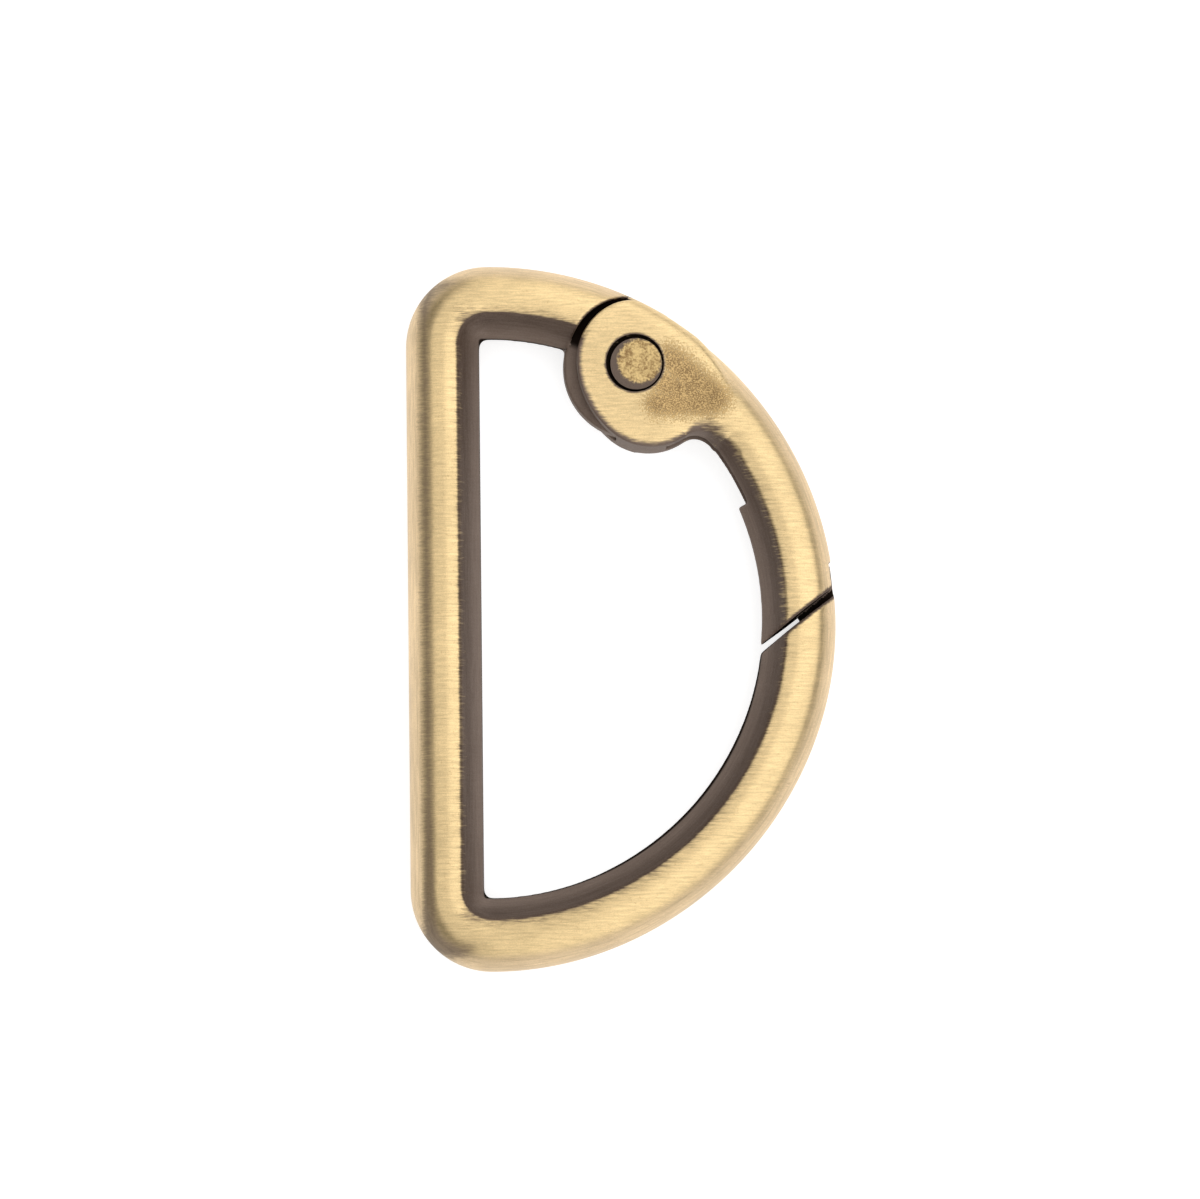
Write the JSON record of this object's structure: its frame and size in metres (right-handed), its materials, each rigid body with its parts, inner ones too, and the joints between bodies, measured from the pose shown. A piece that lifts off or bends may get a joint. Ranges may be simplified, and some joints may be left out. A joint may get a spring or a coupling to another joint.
{
  "type": "gate d ring",
  "caption": "D-shaped strap ring of brushed antique brass, with a straight bar for a strap and a sprung gate in its bow that opens inwards to take a ring or a strap loop.",
  "frame": {"origin": "centre of the ring's outline, on the plane of its back face", "axes": "+Z out of the front face, +Y along the straight bar towards the hinge, +X from the bar towards the bow"},
  "size_m": [0.0194, 0.032, 0.0033],
  "materials": {
    "brushed_antique_brass": "brushed antique brass plating with dark patina on the walls and in the hollows",
    "cast_antique_brass": "grainy as-cast antique brass plating",
    "spring_wire": "bright drawn spring wire"
  },
  "bodies": {
    "frame": {"frame": "brushed_antique_brass", "pin": "cast_antique_brass", "spring": "spring_wire"},
    "gate": {"gate": "brushed_antique_brass"}
  },
  "joints": [
    {"name": "gate_pivot", "type": "hinge", "parent": "frame", "child": "gate", "pos_m": [0.00071, 0.01139, 0.00165], "axis": [0, 0, -1], "range_deg": [0, 50], "stiffness_Nm_per_rad": 0.01, "springref_deg": -22.92, "deforming": ["spring"]}
  ]
}
